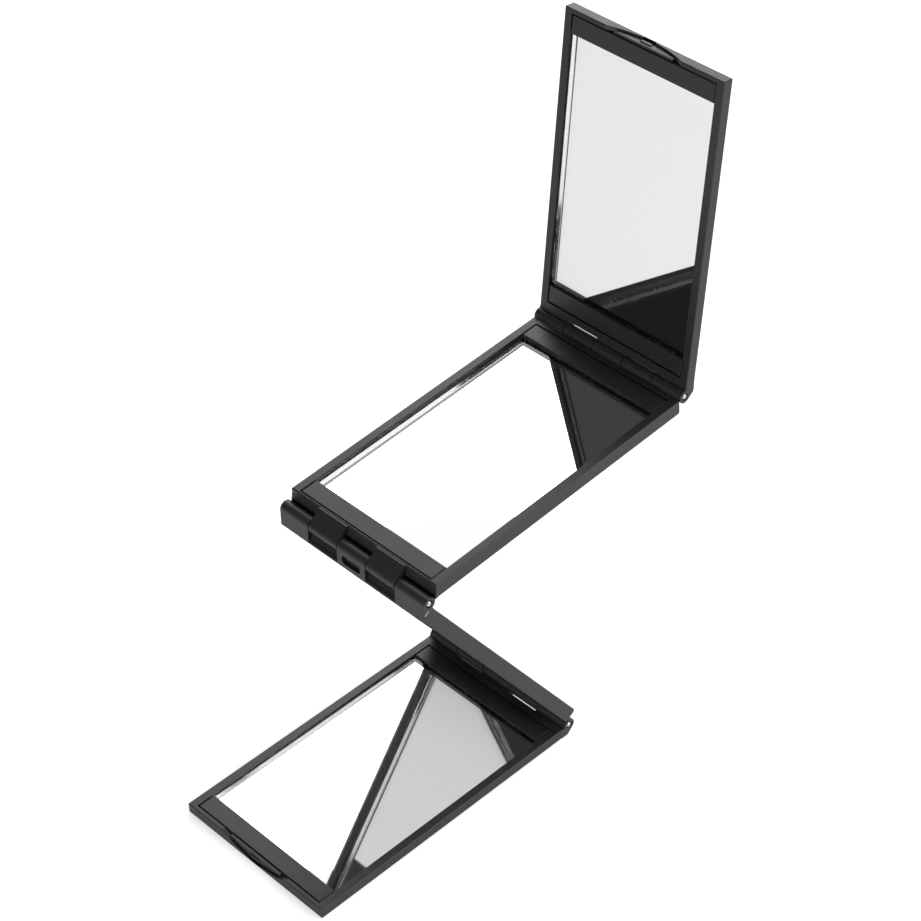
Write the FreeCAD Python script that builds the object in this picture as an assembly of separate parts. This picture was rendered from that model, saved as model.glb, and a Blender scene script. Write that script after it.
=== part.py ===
"""A folding pocket mirror of four panels, half open. All sizes are in millimetres.

The lower cover lies on the table. The lower panel leans back over it, the upper panel lies nearly
level on top and the upper cover stands on the far end of that. X runs along the hinges, Y from the
free end of the lower cover to its hinge, and Z up. The origin is in the middle of the underside of
the lower cover.

Each panel is made lying flat with its mirror up, then turned and carried to its place. In that flat
frame X runs along the hinges, Y along the panel and Z up from the rail faces. A cover has its hinge
axis at Y = 0. An inner panel has its back hinge at the Y = 0 end and its mirror hinge at the other.
"""
import math
import os

import FreeCAD
import Part

# Panels
PANEL_WIDTH = 60.0
INNER_LENGTH = 101.25
COVER_OVERHANG = 0.8
RAIL_WIDTH = 2.7
BACK_RIM = 0.7
MIRROR_RIM = 1.75
INNER_FLOOR = 1.15
COVER_FLOOR = 0.7
INNER_RECESS = 1.7
COVER_RECESS = 0.95
EDGE_ROUND = 0.3
BACK_EDGE_ROUND = 0.45
INNER_CORNER_ROUND = 0.9

# Mirrors and the tape behind them
GLASS_THICKNESS = 1.8
GLASS_CLEARANCE = 0.25
TAPE_THICKNESS = 0.15
TAPE_INSET = 2.0

# End strips that hold the glass
STRIP_WIDTH = 6.0
STRIP_GAP = 0.4
STRIP_SINK = 0.1
STRIP_LAP = 1.0
LIP_CLEARANCE = 0.05
STRIP_EDGE = 0.25

# Hinges
PIN_RADIUS = 0.8
PIN_SINK = 0.1
PIN_CHAMFER = 0.12
PIN_GRIP = 0.01
PIN_RUN = 0.04
PIN_MOUTH = 0.4
PIN_MOUTH_DEPTH = 0.8
BARREL_WALL = 1.35
KNUCKLE_COUNT = 5
KNUCKLE_GAP = 0.3
BARREL_CLEARANCE = 0.15
WIDE_RELIEF = 0.55
NARROW_RELIEF = 0.27
MIRROR_HINGE_ROOM = 0.2
BACK_HINGE_ROOM = 0.9
FOOT_CLEARANCE = 0.1
FOOT_TOP = 1.5
SHUT_MIRROR_GAP = 0.2
SHUT_BACK_GAP = 0.5
HINGE_WALL = 3.0
ARM_SINK = 0.3
ARM_FOOT = 1.0
BACK_WEB_LENGTH = 0.4
BACK_WEB_DEPTH = 0.1

# Pocket in the middle knuckle of the lower panel's back hinge
FINGER_POCKET_WIDTH = 7.2
FINGER_POCKET_HEIGHT = 2.6
FINGER_POCKET_DEPTH = 1.2
FINGER_POCKET_CORNER = 0.9
FINGER_POCKET_LIP = 1.45
FINGER_POCKET_EDGE = 0.2

# Steel strip pressed into one end knuckle of the lower panel's back hinge
STIFFENER_LENGTH = 10.0
STIFFENER_HEIGHT = 1.75
STIFFENER_THICKNESS = 0.65
STIFFENER_SETBACK = 1.2
STIFFENER_DROP = 2.45

# Catch in the free end of each cover
SCALLOP_LENGTH = 29.0
SCALLOP_HEIGHT = 2.8
SCALLOP_DEPTH = 0.6
NOTCH_WIDTH = 4.8
NOTCH_BACK = 0.35
BAR_LENGTH = 22.0
BAR_THICKNESS = 0.7
BAR_HEIGHT = 2.0
BAR_END_HEIGHT = 1.0
NUB_LENGTH = 4.4
NUB_TOP_LENGTH = 3.6
NUB_HEIGHT = 1.0
NUB_REACH = 0.3
CATCH_CLEARANCE = 0.06
CATCH_TRAVEL = 0.2

# Angles of the panels from the table, in degrees
LOWER_PANEL_ANGLE = 125.35
UPPER_PANEL_ANGLE = 4.14
UPPER_COVER_ANGLE = 84.28

# Sizes that follow from those above
HALF_WIDTH = PANEL_WIDTH / 2
WELL_HALF_WIDTH = HALF_WIDTH - RAIL_WIDTH
INNER_THICKNESS = INNER_FLOOR + TAPE_THICKNESS + GLASS_THICKNESS + INNER_RECESS
COVER_THICKNESS = COVER_FLOOR + TAPE_THICKNESS + GLASS_THICKNESS + COVER_RECESS
BARREL_RADIUS = PIN_RADIUS + BARREL_WALL
MIRROR_HINGE_REACH = BARREL_RADIUS + MIRROR_HINGE_ROOM
BACK_HINGE_REACH = BARREL_RADIUS + BACK_HINGE_ROOM
MIRROR_AXIS_RISE = SHUT_MIRROR_GAP / 2
BACK_AXIS_DROP = INNER_THICKNESS + SHUT_BACK_GAP / 2
END_FOOT = BACK_HINGE_ROOM - FOOT_CLEARANCE
COVER_REACH = MIRROR_HINGE_REACH + INNER_LENGTH + COVER_OVERHANG
COVER_START = BARREL_RADIUS + BARREL_CLEARANCE
COVER_WELL_START = COVER_START + HINGE_WALL
FREE_RIM = SCALLOP_DEPTH + BAR_THICKNESS + 2 * CATCH_CLEARANCE
KNUCKLE_PITCH = PANEL_WIDTH / KNUCKLE_COUNT
OUTER_KNUCKLES = range(0, KNUCKLE_COUNT, 2)
BETWEEN_KNUCKLES = range(1, KNUCKLE_COUNT, 2)
OVERLAP = RAIL_WIDTH / 4


def box(x0, x1, y0, y1, z0, z1):
    """A block between two corners."""
    return Part.makeBox(x1 - x0, y1 - y0, z1 - z0, FreeCAD.Vector(x0, y0, z0))


def band(half_width, y0, y1, z0, z1):
    """A block centred on the panel's width."""
    return box(-half_width, half_width, y0, y1, z0, z1)


def side_profile(points, x0, x1):
    """A solid of one outline of (y, z) points, from x0 to x1."""
    corners = [FreeCAD.Vector(x0, y, z) for y, z in points]
    outline = Part.makePolygon(corners + corners[:1])
    return Part.Face(outline).extrude(FreeCAD.Vector(x1 - x0, 0, 0))


def rod(radius, x0, x1, y, z):
    """A round bar along X."""
    return Part.makeCylinder(radius, x1 - x0, FreeCAD.Vector(x0, y, z), FreeCAD.Vector(1, 0, 0))


def joined(shapes):
    """One solid from shapes that overlap."""
    return shapes[0].fuse(shapes[1:]).removeSplitter()


def cover_slab():
    """A cover's outer block, with every edge rounded but those of its hinge end."""
    slab = band(HALF_WIDTH, COVER_START, COVER_REACH, -COVER_THICKNESS, 0)
    rounded = [e for e in slab.Edges if e.BoundBox.YMax > COVER_START + EDGE_ROUND]
    return slab.makeFillet(EDGE_ROUND, rounded)


def back_edge_cut():
    """What is taken off to round the upper edge of an inner panel's back hinge end."""
    radius = BACK_EDGE_ROUND
    corner = band(PANEL_WIDTH, -radius, radius, -radius, radius)
    return corner.cut(rod(radius, -PANEL_WIDTH, PANEL_WIDTH, radius, -radius))


def inner_slab():
    """An inner panel's outer block, with one edge of each end and all its long edges rounded."""
    slab = band(HALF_WIDTH, 0, INNER_LENGTH, -INNER_THICKNESS, 0)
    mirror_end = [e for e in slab.Edges if e.BoundBox.YMin > INNER_LENGTH - EDGE_ROUND]
    lower = [e for e in mirror_end if e.BoundBox.ZMax < EDGE_ROUND - INNER_THICKNESS]
    slab = slab.makeFillet(INNER_CORNER_ROUND, lower)
    long_edges = [e for e in slab.Edges if e.BoundBox.YLength > INNER_LENGTH / 2]
    return slab.makeFillet(EDGE_ROUND, long_edges).cut(back_edge_cut())


def outer_tangent(start, start_radius, end, end_radius):
    """Where a line past the outer, upper side of two circles touches each of them, as two (y, z)."""
    dy = start[0] - end[0]
    dz = start[1] - end[1]
    turn = math.atan2(dz, dy) + math.acos((end_radius - start_radius) / math.hypot(dy, dz))
    out = (math.cos(turn), math.sin(turn))
    near = (start[0] + start_radius * out[0], start[1] + start_radius * out[1])
    far = (end[0] + end_radius * out[0], end[1] + end_radius * out[1])
    return near, far


def knuckle_span(index):
    """The x of both ends of one knuckle. The outermost ends lie flush with the panel's sides."""
    start = index * KNUCKLE_PITCH - HALF_WIDTH
    end = start + KNUCKLE_PITCH
    if index > 0:
        start += KNUCKLE_GAP / 2
    if index < KNUCKLE_COUNT - 1:
        end -= KNUCKLE_GAP / 2
    return start, end


def knuckles(indices, web, axis):
    """Knuckles on one hinge axis, each a barrel with the web that ties it to its tray."""
    made = []
    for index in indices:
        x0, x1 = knuckle_span(index)
        made.append(side_profile(web, x0, x1))
        made.append(rod(BARREL_RADIUS, x0, x1, *axis))
    return made


def bored(tray, axis, clearance):
    """A tray with its pin hole drilled along one hinge axis."""
    return tray.cut(rod(PIN_RADIUS + clearance, -PANEL_WIDTH, PANEL_WIDTH, *axis))


def with_pin_mouths(tray, axis):
    """A tray whose pin hole is wider at both outer ends."""
    radius = PIN_RADIUS + PIN_MOUTH
    mouth = HALF_WIDTH - PIN_MOUTH_DEPTH
    return tray.cut([rod(radius, mouth, PANEL_WIDTH, *axis), rod(radius, -PANEL_WIDTH, -mouth, *axis)])


# Where the hinge axes lie in the flat frames, as (y, z)
COVER_AXIS = (0.0, MIRROR_AXIS_RISE)
MIRROR_AXIS = (INNER_LENGTH + MIRROR_HINGE_REACH, MIRROR_AXIS_RISE)
BACK_AXIS = (-BACK_HINGE_REACH, -BACK_AXIS_DROP)


def lens(start):
    """The lens-shaped cut in a cover's free end, from its rail face down and from y = start outwards."""
    half = SCALLOP_LENGTH / 2
    left = FreeCAD.Vector(-half, start, 0)
    right = FreeCAD.Vector(half, start, 0)
    curve = Part.Arc(left, FreeCAD.Vector(0, start, -SCALLOP_HEIGHT), right).toShape()
    rise = FreeCAD.Vector(0, 0, EDGE_ROUND)
    lid = Part.makePolygon([right, right + rise, left + rise, left])
    return Part.Face(Part.Wire([curve] + lid.Edges)).extrude(FreeCAD.Vector(0, 2 * FREE_RIM, 0))


def catch_seat():
    """The room for a catch: a scallop open to the end, a seat behind it and a notch for the nub."""
    rim_start = COVER_REACH - FREE_RIM
    seat_end = COVER_REACH - SCALLOP_DEPTH
    seat_base = -STRIP_SINK - BAR_HEIGHT - CATCH_CLEARANCE
    seat = band(BAR_LENGTH / 2 + CATCH_CLEARANCE, rim_start, seat_end, seat_base, EDGE_ROUND)
    ends = lens(rim_start).common(band(HALF_WIDTH, rim_start, seat_end, seat_base, EDGE_ROUND))
    notch_base = NOTCH_BACK - COVER_THICKNESS
    notch = band(NOTCH_WIDTH / 2, rim_start, rim_start + 2 * FREE_RIM, notch_base, EDGE_ROUND)
    return lens(seat_end).fuse([seat, ends, notch])


def knuckle_reliefs():
    """Room cut through a cover's hinge wall behind each of the inner panel's knuckles."""
    made = []
    for index, relief in zip(BETWEEN_KNUCKLES, (WIDE_RELIEF, NARROW_RELIEF)):
        x0 = index * KNUCKLE_PITCH - HALF_WIDTH
        x1 = x0 + KNUCKLE_PITCH
        made.append(box(x0, x1, 0, COVER_START + relief, -COVER_THICKNESS - EDGE_ROUND, EDGE_ROUND))
    return made


def cover_tray():
    """A cover's tray: floor, rails, free end with its catch seat, three knuckles on the hinge end."""
    chamfer_foot = COVER_THICKNESS + MIRROR_AXIS_RISE - BARREL_RADIUS * math.sqrt(2)
    side = BARREL_RADIUS / math.sqrt(2)
    web = [
        (0, 0),
        (COVER_START + OVERLAP, 0),
        (COVER_START + OVERLAP, -COVER_THICKNESS),
        (chamfer_foot, -COVER_THICKNESS),
        (-side, MIRROR_AXIS_RISE - side),
    ]
    tray = joined([cover_slab()] + knuckles(OUTER_KNUCKLES, web, COVER_AXIS))
    well_end = COVER_REACH - FREE_RIM
    floor = COVER_FLOOR - COVER_THICKNESS
    tray = tray.cut(band(WELL_HALF_WIDTH, COVER_WELL_START, well_end, floor, EDGE_ROUND))
    tray = tray.cut([catch_seat()] + knuckle_reliefs())
    return with_pin_mouths(bored(tray, COVER_AXIS, PIN_GRIP), COVER_AXIS)


def knuckle_face(start, start_radius):
    """Both ends of the straight slope from a rounded corner at start to a back hinge barrel."""
    return outer_tangent(start, start_radius, BACK_AXIS, BARREL_RADIUS)


def sloped_web(near, far):
    """The outline of a back hinge knuckle: its slope from near to far, and its web."""
    return [
        (BACK_RIM / 2, near[1]),
        near,
        far,
        BACK_AXIS,
        (BACK_RIM / 2, -INNER_THICKNESS),
    ]


def inner_tray(back_indices, back_face, back_clearance):
    """An inner tray: floor, rails and end walls, with knuckles on both ends."""
    axis_y = MIRROR_AXIS[0]
    arm = [
        (INNER_LENGTH - MIRROR_RIM / 2, -ARM_SINK),
        (axis_y, -ARM_SINK),
        (axis_y, MIRROR_AXIS_RISE - BARREL_RADIUS),
        (INNER_LENGTH - MIRROR_RIM / 2, ARM_FOOT - INNER_THICKNESS),
    ]
    foot = [
        (BACK_RIM / 2, -FOOT_TOP),
        (0, -FOOT_TOP),
        (-END_FOOT, -INNER_THICKNESS),
        (BACK_RIM / 2, -INNER_THICKNESS),
    ]
    shapes = [inner_slab(), side_profile(foot, -HALF_WIDTH, HALF_WIDTH)]
    shapes += knuckles(BETWEEN_KNUCKLES, arm, MIRROR_AXIS)
    shapes += knuckles(back_indices, sloped_web(*back_face), BACK_AXIS)
    tray = joined(shapes)
    floor = INNER_FLOOR - INNER_THICKNESS
    tray = tray.cut(band(WELL_HALF_WIDTH, BACK_RIM, INNER_LENGTH - MIRROR_RIM, floor, EDGE_ROUND))
    return bored(bored(tray, MIRROR_AXIS, PIN_RUN), BACK_AXIS, back_clearance)


def upper_panel_tray():
    """The upper panel's tray, with two sloped arms to the back hinge."""
    return inner_tray(BETWEEN_KNUCKLES, knuckle_face((-BACK_WEB_LENGTH, -BACK_WEB_DEPTH), 0), PIN_RUN)


def pocket_block(spread, depth):
    """The pocket's outline, wider all round by spread, from its depth below the face to well above it."""
    width = FINGER_POCKET_WIDTH + 2 * spread
    height = FINGER_POCKET_HEIGHT + 2 * spread
    corner = FreeCAD.Vector(-width / 2, FINGER_POCKET_LIP - spread, -depth)
    block = Part.makeBox(width, height, FINGER_POCKET_DEPTH + depth, corner)
    upright = [e for e in block.Edges if e.BoundBox.ZLength > depth]
    return block.makeFillet(FINGER_POCKET_CORNER + spread, upright)


def finger_pocket(near, far):
    """A pocket with round corners and a chamfered mouth, sunk square into the slope from near to far."""
    mouth = pocket_block(FINGER_POCKET_EDGE, FINGER_POCKET_EDGE)
    rim = [e for e in mouth.Edges if e.BoundBox.ZMax < -FINGER_POCKET_EDGE / 2]
    mouth = mouth.makeChamfer(FINGER_POCKET_EDGE, rim)
    pocket = pocket_block(0, FINGER_POCKET_DEPTH).fuse(mouth)
    angle = math.degrees(math.atan2(far[1] - near[1], far[0] - near[0]))
    turn = FreeCAD.Rotation(FreeCAD.Vector(1, 0, 0), angle)
    return pocket.transformed(FreeCAD.Placement(FreeCAD.Vector(0, *near), turn).toMatrix(), True)


def stiffener(grip, end):
    """The steel strip in the web of an end knuckle, or its slot, made larger all round by grip."""
    start = HALF_WIDTH - STIFFENER_LENGTH - grip
    half_thickness = STIFFENER_THICKNESS / 2 + grip
    half_height = STIFFENER_HEIGHT / 2 + grip
    y = (-STIFFENER_SETBACK - half_thickness, -STIFFENER_SETBACK + half_thickness)
    z = (-STIFFENER_DROP - half_height, -STIFFENER_DROP + half_height)
    return box(-end, -start, *y, *z)


def lower_panel_tray():
    """The lower panel's tray, with three sloped blocks on the back hinge, a pocket in the middle one."""
    back_face = knuckle_face((BACK_EDGE_ROUND, -BACK_EDGE_ROUND), BACK_EDGE_ROUND)
    tray = inner_tray(OUTER_KNUCKLES, back_face, PIN_GRIP)
    pocket = finger_pocket(*back_face)
    return with_pin_mouths(tray.cut([pocket, stiffener(PIN_GRIP, PANEL_WIDTH)]), BACK_AXIS)


def glass(start, end, thickness, floor):
    """A mirror plate that reaches under the strips at both ends."""
    base = floor + TAPE_THICKNESS - thickness
    return band(WELL_HALF_WIDTH - GLASS_CLEARANCE, start, end, base, base + GLASS_THICKNESS)


def tape(start, end, thickness, floor):
    """The sheet of tape between a mirror and the tray's floor."""
    half = WELL_HALF_WIDTH - TAPE_INSET
    base = floor - thickness
    return band(half, start + TAPE_INSET, end - TAPE_INSET, base, base + TAPE_THICKNESS)


def strip(outer, inward, thickness, floor, recess):
    """An end strip: a foot on the tray's floor and a lip over the glass. Inward is 1 or -1 along Y."""
    half = WELL_HALF_WIDTH - STRIP_GAP
    foot_end = outer + inward * (STRIP_WIDTH - STRIP_LAP - GLASS_CLEARANCE)
    lip_end = outer + inward * STRIP_WIDTH
    lip_base = LIP_CLEARANCE - recess
    foot = band(half, min(outer, foot_end), max(outer, foot_end), floor - thickness, -STRIP_SINK)
    lip = band(half, min(outer, lip_end), max(outer, lip_end), lip_base, -STRIP_SINK)
    body = joined([foot, lip])
    top = [e for e in body.Edges if e.BoundBox.ZMin > -STRIP_SINK - STRIP_EDGE / 2]
    return body.makeFillet(STRIP_EDGE, top)


def catch():
    """A catch: a bar whose upper edge is straight and lower edge bowed, with a nub on its outer face."""
    half = BAR_LENGTH / 2
    back = COVER_REACH - FREE_RIM + CATCH_CLEARANCE
    top = -STRIP_SINK
    corners = [
        FreeCAD.Vector(half, back, top - BAR_END_HEIGHT),
        FreeCAD.Vector(half, back, top),
        FreeCAD.Vector(-half, back, top),
        FreeCAD.Vector(-half, back, top - BAR_END_HEIGHT),
    ]
    bow = Part.Arc(corners[3], FreeCAD.Vector(0, back, top - BAR_HEIGHT), corners[0]).toShape()
    outline = Part.Wire([bow] + Part.makePolygon(corners).Edges)
    bar = Part.Face(outline).extrude(FreeCAD.Vector(0, BAR_THICKNESS, 0))
    front = back + BAR_THICKNESS
    nub_points = [
        (-NUB_LENGTH / 2, front - BAR_THICKNESS / 2),
        (-NUB_LENGTH / 2, front),
        (-NUB_TOP_LENGTH / 2, front + NUB_REACH),
        (NUB_TOP_LENGTH / 2, front + NUB_REACH),
        (NUB_LENGTH / 2, front),
        (NUB_LENGTH / 2, front - BAR_THICKNESS / 2),
    ]
    nub_base = top - BAR_END_HEIGHT - NUB_HEIGHT + CATCH_CLEARANCE
    nub_corners = [FreeCAD.Vector(x, y, nub_base) for x, y in nub_points]
    nub_outline = Part.makePolygon(nub_corners + nub_corners[:1])
    nub = Part.Face(nub_outline).extrude(FreeCAD.Vector(0, 0, NUB_HEIGHT))
    return joined([bar, nub])


def cover_pieces():
    """Every piece of a cover but its pin, lying flat."""
    hinge_edge = COVER_WELL_START + STRIP_GAP
    free_edge = COVER_REACH - FREE_RIM - STRIP_GAP
    under = STRIP_WIDTH - STRIP_LAP
    layers = (COVER_THICKNESS, COVER_FLOOR)
    return {
        "tray": cover_tray(),
        "mirror": glass(hinge_edge + under, free_edge - under, *layers),
        "tape": tape(hinge_edge + under, free_edge - under, *layers),
        "hinge_strip": strip(hinge_edge, 1, *layers, COVER_RECESS),
        "free_strip": strip(free_edge, -1, *layers, COVER_RECESS),
        "catch": catch(),
    }


def inner_pieces(tray):
    """Every piece of an inner panel but its pin, lying flat, in the tray given."""
    back_edge = BACK_RIM + STRIP_GAP
    mirror_edge = INNER_LENGTH - MIRROR_RIM - STRIP_GAP
    under = STRIP_WIDTH - STRIP_LAP
    layers = (INNER_THICKNESS, INNER_FLOOR)
    return {
        "tray": tray,
        "mirror": glass(back_edge + under, mirror_edge - under, *layers),
        "tape": tape(back_edge + under, mirror_edge - under, *layers),
        "middle_strip": strip(back_edge, 1, *layers, INNER_RECESS),
        "cover_strip": strip(mirror_edge, -1, *layers, INNER_RECESS),
    }


def set_on(axis, world, angle, end_for_end=False):
    """The placement that turns a flat panel to its angle and brings its hinge axis to a world (y, z)."""
    turn = FreeCAD.Rotation(FreeCAD.Vector(1, 0, 0), angle)
    if end_for_end:
        turn = turn.multiply(FreeCAD.Rotation(FreeCAD.Vector(0, 0, 1), 180))
    carry = FreeCAD.Placement(FreeCAD.Vector(0, *world), turn)
    return carry.multiply(FreeCAD.Placement(FreeCAD.Vector(0, -axis[0], -axis[1]), FreeCAD.Rotation()))


def carried(placement, axis):
    """The world (y, z) of a hinge axis of a placed panel."""
    point = placement.multVec(FreeCAD.Vector(0, *axis))
    return (point.y, point.z)


def pin(world):
    """A hinge pin on a world axis, with chamfered ends."""
    wire = rod(PIN_RADIUS, PIN_SINK - HALF_WIDTH, HALF_WIDTH - PIN_SINK, *world)
    rims = [e for e in wire.Edges if e.BoundBox.XLength < PIN_CHAMFER]
    return wire.makeChamfer(PIN_CHAMFER, rims)


# The chain of panels, from the table up
LOWER_AXIS = (COVER_REACH / 2, COVER_THICKNESS + MIRROR_AXIS_RISE)
LOWER_COVER = set_on(COVER_AXIS, LOWER_AXIS, 0, True)
LOWER_PANEL = set_on(MIRROR_AXIS, LOWER_AXIS, LOWER_PANEL_ANGLE, True)
MIDDLE_AXIS = carried(LOWER_PANEL, BACK_AXIS)
UPPER_PANEL = set_on(BACK_AXIS, MIDDLE_AXIS, UPPER_PANEL_ANGLE)
UPPER_AXIS = carried(UPPER_PANEL, MIRROR_AXIS)
UPPER_COVER = set_on(COVER_AXIS, UPPER_AXIS, UPPER_COVER_ANGLE)


def build():
    """Every node of the mirror in its place, by name."""
    cover = cover_pieces()
    lower_panel = inner_pieces(lower_panel_tray())
    lower_panel["stiffener"] = stiffener(0, HALF_WIDTH - PIN_SINK)
    panels = {
        "lower_cover": (LOWER_COVER, cover),
        "lower_panel": (LOWER_PANEL, lower_panel),
        "upper_panel": (UPPER_PANEL, inner_pieces(upper_panel_tray())),
        "upper_cover": (UPPER_COVER, cover),
    }
    nodes = {}
    for panel, (placement, pieces) in panels.items():
        for piece, shape in pieces.items():
            nodes[f"{panel}_{piece}"] = shape.transformed(placement.toMatrix(), True)
    nodes["lower_hinge_pin"] = pin(LOWER_AXIS)
    nodes["middle_hinge_pin"] = pin(MIDDLE_AXIS)
    nodes["upper_hinge_pin"] = pin(UPPER_AXIS)
    return nodes


os.makedirs("parts", exist_ok=True)
for node, shape in build().items():
    shape.exportStep(f"parts/{node}.step")
    solids = len(shape.Solids)
    print(f"{node}: {solids} solid, {shape.Volume:.2f} mm3, valid {shape.isValid()}")
print("hinge axes (y, z)", LOWER_AXIS, MIDDLE_AXIS, UPPER_AXIS)
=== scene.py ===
"""A folding pocket mirror of black plastic, half open on a white table. Sizes are in metres."""
import math

import bmesh
import bpy
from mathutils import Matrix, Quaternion, Vector


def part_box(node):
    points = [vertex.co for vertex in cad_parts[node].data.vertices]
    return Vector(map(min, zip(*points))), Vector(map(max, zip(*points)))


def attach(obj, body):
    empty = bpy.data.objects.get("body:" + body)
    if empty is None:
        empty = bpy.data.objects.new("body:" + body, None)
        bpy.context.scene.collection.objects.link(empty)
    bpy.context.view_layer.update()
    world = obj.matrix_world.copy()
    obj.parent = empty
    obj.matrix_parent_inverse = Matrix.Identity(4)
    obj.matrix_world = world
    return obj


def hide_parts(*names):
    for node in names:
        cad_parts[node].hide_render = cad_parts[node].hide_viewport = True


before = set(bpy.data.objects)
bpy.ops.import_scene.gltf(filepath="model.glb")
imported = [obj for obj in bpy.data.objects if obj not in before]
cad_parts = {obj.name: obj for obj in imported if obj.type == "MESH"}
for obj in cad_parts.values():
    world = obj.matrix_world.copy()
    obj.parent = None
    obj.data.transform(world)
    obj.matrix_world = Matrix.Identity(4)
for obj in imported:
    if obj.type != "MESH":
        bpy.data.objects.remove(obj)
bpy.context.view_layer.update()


# Trays
# The four trays are injection moulded in black ABS, each in one piece with its hinge knuckles. The mould is
# spark eroded, so every face has a fine even grain, a little glossier where hands have rubbed it.
MM = 0.001
PANELS = ("lower_cover", "lower_panel", "upper_panel", "upper_cover")
CASE_BLACK = (0.013, 0.013, 0.014, 1)
CASE_WORN = (0.024, 0.024, 0.025, 1)
CASE_GRAIN = 0.34 * MM
CASE_SMUDGE = 14 * MM
CASE_ROUGHNESS = 0.42
CASE_BUMP = 0.35
GRAIN_DEPTH = 0.25
GRAIN_COLOUR = 0.6
GRAIN_DULLS = 0.16
SMUDGE_DETAIL = 4
SMUDGE_COLOUR = 0.4
SMUDGE_SHINES = 0.12
MEAN_NOISE = 0.5


class Wire:
    """One socket of a node tree. Sums and products of wires and numbers add Math nodes."""

    def __init__(self, tree, socket=None):
        self.tree = tree
        self.socket = socket

    def add(self, kind, settings=None, inputs=None, out=0):
        """A new node with its settings, then its inputs, as the wire of one of its outputs."""
        made = self.tree.nodes.new(kind)
        for name, value in (settings or {}).items():
            if name == "stops":
                while len(made.color_ramp.elements) < len(value):
                    made.color_ramp.elements.new(1)
                for stop, (place, colour) in zip(made.color_ramp.elements, value):
                    stop.position = place
                    stop.color = colour
            else:
                setattr(made, name, value)
        for name, value in (inputs or {}).items():
            if isinstance(value, Wire):
                self.tree.links.new(value.socket, made.inputs[name])
            else:
                made.inputs[name].default_value = value
        return Wire(self.tree, made.outputs[out] if made.outputs else None)

    def math(self, operation, first, second):
        """A Math node on two wires or numbers."""
        return self.add("ShaderNodeMath", {"operation": operation}, {0: first, 1: second})

    def __add__(self, other):
        return self.math("ADD", self, other)

    def __sub__(self, other):
        return self.math("SUBTRACT", self, other)

    def __rsub__(self, other):
        return self.math("SUBTRACT", other, self)

    def __mul__(self, other):
        return self.math("MULTIPLY", self, other)

    __radd__ = __add__
    __rmul__ = __mul__


def new_finish(name):
    """A material with an empty tree, and the wire that nodes are added from."""
    material = bpy.data.materials.new(name)
    material.use_nodes = True
    material.node_tree.nodes.clear()
    return material, Wire(material.node_tree)


def close_finish(tree, shader):
    """Joins a shader to the material's output."""
    tree.add("ShaderNodeOutputMaterial", inputs={"Surface": shader})


def speckle(tree, size, detail=2):
    """Noise whose blotches are about one size across, on the piece's own coordinates."""
    place = tree.add("ShaderNodeTexCoord", out="Object")
    return tree.add("ShaderNodeTexNoise", inputs={"Vector": place, "Scale": 1 / size, "Detail": detail})


def blend(tree, factor, low, high):
    """One colour at factor 0 and another at 1."""
    settings = {"data_type": "RGBA"}
    return tree.add("ShaderNodeMix", settings, {"Factor": factor, "A": low, "B": high}, out=2)


def moulded_plastic(name, dark, worn, grain, smudge, roughness, bump):
    """Black moulded plastic with a fine grain and faint smudges."""
    material, tree = new_finish(name)
    fine = speckle(tree, grain)
    rubbed = speckle(tree, smudge, SMUDGE_DETAIL)
    dulled = roughness + (fine - MEAN_NOISE) * GRAIN_DULLS
    relief = {"Height": fine, "Strength": bump, "Distance": grain * GRAIN_DEPTH}
    shader = tree.add(
        "ShaderNodeBsdfPrincipled",
        inputs={
            "Base Color": blend(tree, fine * GRAIN_COLOUR + rubbed * SMUDGE_COLOUR, dark, worn),
            "Roughness": dulled - (rubbed - MEAN_NOISE) * SMUDGE_SHINES,
            "Normal": tree.add("ShaderNodeBump", inputs=relief),
        },
    )
    close_finish(tree, shader)
    return material


def finish_node(name, material):
    """Gives a piece that keeps its solid's shape its finish."""
    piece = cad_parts[name]
    piece.data.materials.clear()
    piece.data.materials.append(material)


case_plastic = moulded_plastic(
    "case_plastic", CASE_BLACK, CASE_WORN, CASE_GRAIN, CASE_SMUDGE, CASE_ROUGHNESS, CASE_BUMP
)
for panel in PANELS:
    finish_node(f"{panel}_tray", case_plastic)


# End strips
# Each strip is a separate black moulding, glued into its tray over the end of the glass. It is smoother than
# the trays, with a coarser and fainter grain.
STRIP_BLACK = (0.013, 0.013, 0.014, 1)
STRIP_WORN = (0.021, 0.021, 0.022, 1)
STRIP_GRAIN = 0.5 * MM
STRIP_SMUDGE = 11 * MM
STRIP_ROUGHNESS = 0.42
STRIP_BUMP = 0.12
STRIP_ENDS = {
    "lower_cover": ("hinge_strip", "free_strip"),
    "lower_panel": ("middle_strip", "cover_strip"),
    "upper_panel": ("middle_strip", "cover_strip"),
    "upper_cover": ("hinge_strip", "free_strip"),
}

strip_plastic = moulded_plastic(
    "strip_plastic", STRIP_BLACK, STRIP_WORN, STRIP_GRAIN, STRIP_SMUDGE, STRIP_ROUGHNESS, STRIP_BUMP
)
for panel, ends in STRIP_ENDS.items():
    for end in ends:
        finish_node(f"{panel}_{end}", strip_plastic)


# Catches
# Each catch is a thin bowed bar with a nub that a thumb presses, moulded in the same black as the strips. It
# is held in the scallop at a cover's free end and springs back.
CATCH_GRAIN = 0.4 * MM
CATCH_SMUDGE = 6 * MM
CATCH_ROUGHNESS = 0.44
CATCH_BUMP = 0.15

catch_plastic = moulded_plastic(
    "catch_plastic", STRIP_BLACK, STRIP_WORN, CATCH_GRAIN, CATCH_SMUDGE, CATCH_ROUGHNESS, CATCH_BUMP
)
for panel in ("lower_cover", "upper_cover"):
    finish_node(f"{panel}_catch", catch_plastic)


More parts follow.
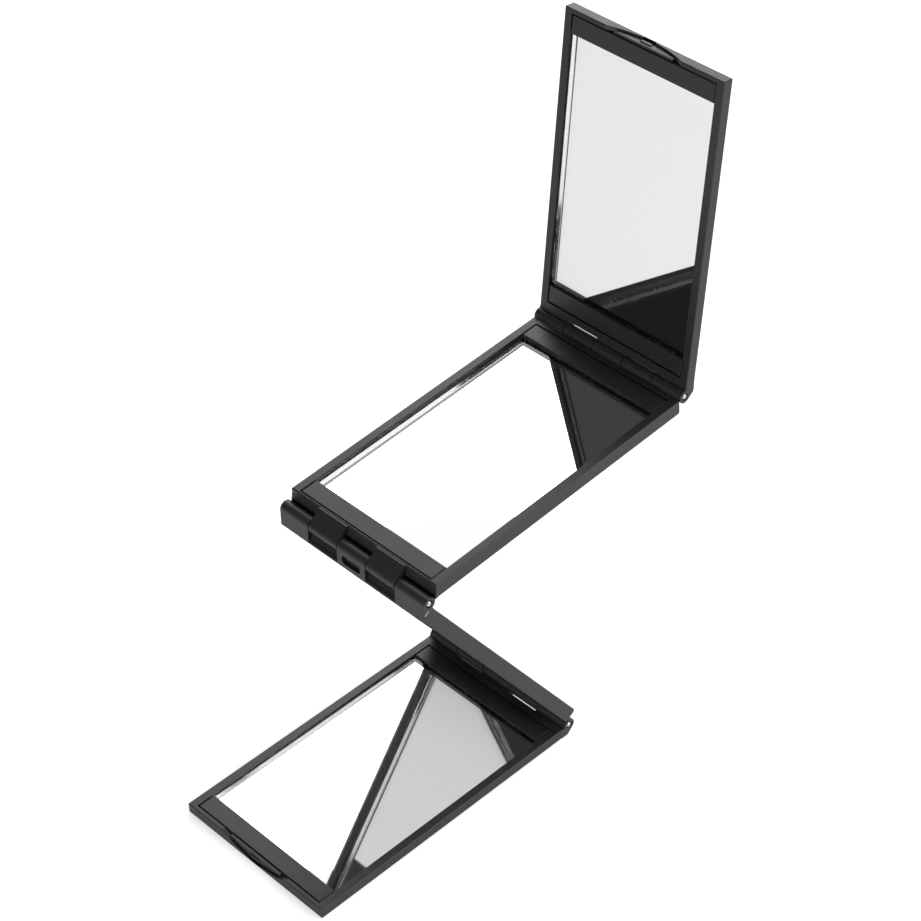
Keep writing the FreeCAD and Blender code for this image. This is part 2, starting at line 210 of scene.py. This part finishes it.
# Mirrors
# The mirrors are plates of float glass, silvered on the back. Their edges are cut and lightly ground, so
# they show as a bright line inside the rails, with small white chips where the cutter broke the edge.
SEAM = 0.1 * MM
SILVER_LIFT = 0.03 * MM
SILVER = (0.99, 0.99, 0.99, 1)
GLASS_TINT = (0.998, 1.0, 0.999, 1)
GLASS_IOR = 1.52
GRIND = 0.2
CHIP_WHITE = (0.8, 0.8, 0.8, 1)
CHIP_SIZE = 0.45 * MM
CHIP_DETAIL = 3
CHIP_START = 0.64
CHIP_ROUGHNESS = 0.4
CHIP_UNEVEN = 0.2
WELD = 0.001 * MM
FLAT_ANGLE = math.radians(1)
FRONT_FINISH = 0
BACK_FINISH = 1
EDGE_FINISH = 2


def clear_glass(tree, roughness):
    """The shader of float glass, polished or ground."""
    return tree.add(
        "ShaderNodeBsdfPrincipled",
        inputs={
            "Base Color": GLASS_TINT,
            "Roughness": roughness,
            "IOR": GLASS_IOR,
            "Transmission Weight": 1.0,
        },
    )


def polished_front():
    """The smooth front of a mirror."""
    material, tree = new_finish("mirror_front")
    close_finish(tree, clear_glass(tree, 0.0))
    return material


def silvered_back():
    """The silver layer behind the glass."""
    material, tree = new_finish("mirror_silver")
    shader = tree.add(
        "ShaderNodeBsdfPrincipled",
        inputs={"Base Color": SILVER, "Metallic": 1.0, "Roughness": 0.0},
    )
    close_finish(tree, shader)
    return material


def ground_edge():
    """The cut edge of a mirror, with its chips."""
    material, tree = new_finish("mirror_edge")
    wear = speckle(tree, CHIP_SIZE, CHIP_DETAIL)
    ground = clear_glass(tree, wear * GRIND)
    chipped = tree.add(
        "ShaderNodeBsdfPrincipled",
        inputs={"Base Color": CHIP_WHITE, "Roughness": CHIP_ROUGHNESS + wear * CHIP_UNEVEN},
    )
    broken = tree.math("GREATER_THAN", wear, CHIP_START)
    close_finish(tree, tree.add("ShaderNodeMixShader", inputs={0: broken, 1: ground, 2: chipped}))
    return material


def plate_of(node):
    """A clean copy of a plate's solid, with eight corners and six faces, and the bmesh that it is cut in."""
    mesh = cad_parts[node].data.copy()
    work = bmesh.new()
    work.from_mesh(mesh)
    bmesh.ops.remove_doubles(work, verts=work.verts, dist=WELD)
    bmesh.ops.dissolve_limit(work, angle_limit=FLAT_ANGLE, verts=work.verts, edges=work.edges)
    return mesh, work


def cut_glass(work, behind):
    """Gives a plate its finishes and its bevelled front. Behind is a point on the side of the silver."""
    faces = sorted(work.faces, key=lambda face: face.calc_area())
    wide = faces[-2:]
    back, front = sorted(wide, key=lambda face: (face.calc_center_median() - behind).length)
    for face in work.faces:
        face.material_index = EDGE_FINISH
        face.smooth = False
    back.material_index = BACK_FINISH
    front.material_index = FRONT_FINISH
    for corner in back.verts:
        corner.co += SILVER_LIFT * front.normal
    rim = list(front.edges)
    bmesh.ops.bevel(work, geom=rim, offset=SEAM, segments=1, affect="EDGES", material=EDGE_FINISH)


mirror_finishes = (polished_front(), silvered_back(), ground_edge())
for panel in PANELS:
    mesh, work = plate_of(f"{panel}_mirror")
    tape_low, tape_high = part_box(f"{panel}_tape")
    cut_glass(work, (Vector(tape_low) + Vector(tape_high)) / 2)
    mesh.materials.clear()
    for finish in mirror_finishes:
        mesh.materials.append(finish)
    work.to_mesh(mesh)
    work.free()
    mirror = bpy.data.objects.new(f"{panel}_glass", mesh)
    bpy.context.collection.objects.link(mirror)
    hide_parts(f"{panel}_mirror")
    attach(mirror, panel)


# Tape
# A sheet of double-sided tissue tape holds each mirror to the floor of its tray. It is cut a little smaller
# than the glass and lies hidden behind the silver.
TAPE_PALE = (0.78, 0.77, 0.72, 1)
TAPE_FIBRE = (0.62, 0.61, 0.56, 1)
FIBRE_SIZE = 0.8 * MM
FIBRE_DETAIL = 6
TAPE_ROUGHNESS = 0.6
TAPE_UNEVEN = 0.3


def tissue_tape():
    """Pale tissue with fibres in it."""
    material, tree = new_finish("tape")
    fibre = speckle(tree, FIBRE_SIZE, FIBRE_DETAIL)
    shader = tree.add(
        "ShaderNodeBsdfPrincipled",
        inputs={
            "Base Color": blend(tree, fibre, TAPE_PALE, TAPE_FIBRE),
            "Roughness": TAPE_ROUGHNESS + fibre * TAPE_UNEVEN,
        },
    )
    close_finish(tree, shader)
    return material


tape_finish = tissue_tape()
for panel in PANELS:
    finish_node(f"{panel}_tape", tape_finish)


# Hinge pins
# The three pins are drawn steel wire, cut to the width of the panels and pressed into the end knuckles, with
# bright ends. The flat strip in one end knuckle of the middle hinge is of the same steel.
STEEL = (0.72, 0.72, 0.71, 1)
DRAWING_MARK = 0.12 * MM
DRAWING_DETAIL = 3
STEEL_ROUGHNESS = 0.18
STEEL_UNEVEN = 0.2


def drawn_steel():
    """Bright steel with fine marks from drawing and cutting."""
    material, tree = new_finish("pin_steel")
    marks = speckle(tree, DRAWING_MARK, DRAWING_DETAIL)
    shader = tree.add(
        "ShaderNodeBsdfPrincipled",
        inputs={"Base Color": STEEL, "Metallic": 1.0, "Roughness": STEEL_ROUGHNESS + marks * STEEL_UNEVEN},
    )
    close_finish(tree, shader)
    return material


pin_finish = drawn_steel()
for name in ("lower_hinge_pin", "middle_hinge_pin", "upper_hinge_pin", "lower_panel_stiffener"):
    finish_node(name, pin_finish)


# Table
# A plain white table top, whose front edge shows in the lower cover's mirror. It keeps the shadow of the
# object. To the camera, and in the first mirror that a ray meets, it is lifted to white.
TABLE_SIDE = 3.0
TABLE_FRONT = -0.377
TABLE_DROP = 0.05 * MM
TABLE_WHITE = (0.72, 0.72, 0.72, 1)
TABLE_LIFT = 0.6
MIRRORED_LIFT = 0.235
FIRST_MIRROR = 2.5

table_mesh = bpy.data.meshes.new("table")
table_rows = ((TABLE_FRONT, -1), (TABLE_FRONT, 1), (TABLE_SIDE, 1), (TABLE_SIDE, -1))
table_corners = [(side * TABLE_SIDE, y, -TABLE_DROP) for y, side in table_rows]
table_mesh.from_pydata(table_corners, [], [(0, 1, 2, 3)])
table = bpy.data.objects.new("table", table_mesh)
bpy.context.collection.objects.link(table)
table_white, tree = new_finish("table_white")
lit = tree.add("ShaderNodeBsdfDiffuse", inputs={"Color": TABLE_WHITE})
seen = tree.add("ShaderNodeLightPath", out="Is Camera Ray")
glossy = tree.add("ShaderNodeLightPath", out="Is Glossy Ray")
through = tree.add("ShaderNodeLightPath", out="Is Transmission Ray")
passes = tree.add("ShaderNodeLightPath", out="Transmission Depth")
near = tree.math("LESS_THAN", passes, FIRST_MIRROR)
mirrored = tree.math("MAXIMUM", glossy, through) * near
lift = tree.add("ShaderNodeEmission", inputs={"Strength": seen * TABLE_LIFT + mirrored * MIRRORED_LIFT})
close_finish(tree, tree.add("ShaderNodeAddShader", inputs={0: lit, 1: lift}))
table_mesh.materials.append(table_white)


# Studio
# A white wall behind the object, a dim room behind the camera, and soft lamps behind, in front and at the
# right. The room is darkest above the height that the table lights. The camera itself sees white on every
# side, and the mirrors show the room.
WALL_WHITE = (1.0, 1.0, 1.0, 1)
CEILING_GREY = (0.16, 0.16, 0.16, 1)
ROOM_DIM = (0.055, 0.055, 0.055, 1)
ROOM_DARK = (0.012, 0.012, 0.012, 1)
ROOM_LOW = (0.036, 0.036, 0.036, 1)
ROOM_LOW_TOP = 0.29
ROOM_STOPS = ((0.14, ROOM_DARK), (0.36, ROOM_DIM), (0.5, CEILING_GREY), (0.62, WALL_WHITE))
HALF = 0.5
LAMPS = {
    "back_lamp": {"place": (-0.51, 0.53, 0.56), "aim": (0, 0.03, 0.1), "size": 0.45, "power": 1.9},
    "front_lamp": {"place": (0.2, -1.2, 0.3), "aim": (0, 0, 0.08), "size": 0.5, "power": 9.5},
    "right_lamp": {"place": (0.8, 0.3, 0.4), "aim": (0, 0.03, 0.08), "size": 0.5, "power": 3.6},
}

world = bpy.data.worlds.new("studio")
bpy.context.scene.world = world
world.use_nodes = True
world.node_tree.nodes.clear()
sky = Wire(world.node_tree)
direction = sky.add("ShaderNodeTexCoord", out="Generated")
depth = sky.add("ShaderNodeSeparateXYZ", inputs={"Vector": direction}, out="Y")
height = sky.add("ShaderNodeSeparateXYZ", inputs={"Vector": direction}, out="Z")
room = sky.add("ShaderNodeValToRGB", {"stops": ROOM_STOPS}, {"Fac": depth * HALF + HALF})
low_front = sky.math("LESS_THAN", height, ROOM_LOW_TOP) * sky.math("LESS_THAN", depth, 0)
surroundings = blend(sky, low_front, room, ROOM_LOW)
looked_at = sky.add("ShaderNodeLightPath", out="Is Camera Ray")
backdrop = sky.add("ShaderNodeBackground", inputs={"Color": blend(sky, looked_at, surroundings, WALL_WHITE)})
sky.add("ShaderNodeOutputWorld", inputs={"Surface": backdrop})

for name, lamp in LAMPS.items():
    lamp_data = bpy.data.lights.new(name, "AREA")
    lamp_data.size = lamp["size"]
    lamp_data.energy = lamp["power"]
    light = bpy.data.objects.new(name, lamp_data)
    light.location = lamp["place"]
    away = Vector(lamp["place"]) - Vector(lamp["aim"])
    light.rotation_euler = away.to_track_quat("Z", "Y").to_euler()
    light.visible_camera = False
    bpy.context.collection.objects.link(light)


# Camera
# It stands in front and to the right, and looks down at the open mirror. Its place, turn and lens were
# fitted to the corners of the panels.
CAMERA_PLACE = (0.419984, -0.366751, 0.591537)
CAMERA_AZIMUTH = math.radians(45.9727)
CAMERA_ELEVATION = math.radians(39.8143)
CAMERA_ROLL = math.radians(-1.2157)
CAMERA_LENS = 102.323
CAMERA_SENSOR = 36
CAMERA_SHIFT = (-0.00655, -0.00883)
CAMERA_CLIP = 0.01

to_camera = Vector((math.sin(CAMERA_AZIMUTH), -math.cos(CAMERA_AZIMUTH), 0)) * math.cos(CAMERA_ELEVATION)
to_camera.z = math.sin(CAMERA_ELEVATION)
camera_data = bpy.data.cameras.new("camera")
camera_data.sensor_width = CAMERA_SENSOR
camera_data.lens = CAMERA_LENS
camera_data.shift_x, camera_data.shift_y = CAMERA_SHIFT
camera_data.clip_start = CAMERA_CLIP
camera = bpy.data.objects.new("camera", camera_data)
camera.location = CAMERA_PLACE
camera.rotation_mode = "QUATERNION"
camera.rotation_quaternion = to_camera.to_track_quat("Z", "Y") @ Quaternion((0, 0, 1), CAMERA_ROLL)
bpy.context.collection.objects.link(camera)
bpy.context.scene.camera = camera
bpy.context.scene.view_settings.view_transform = "Standard"
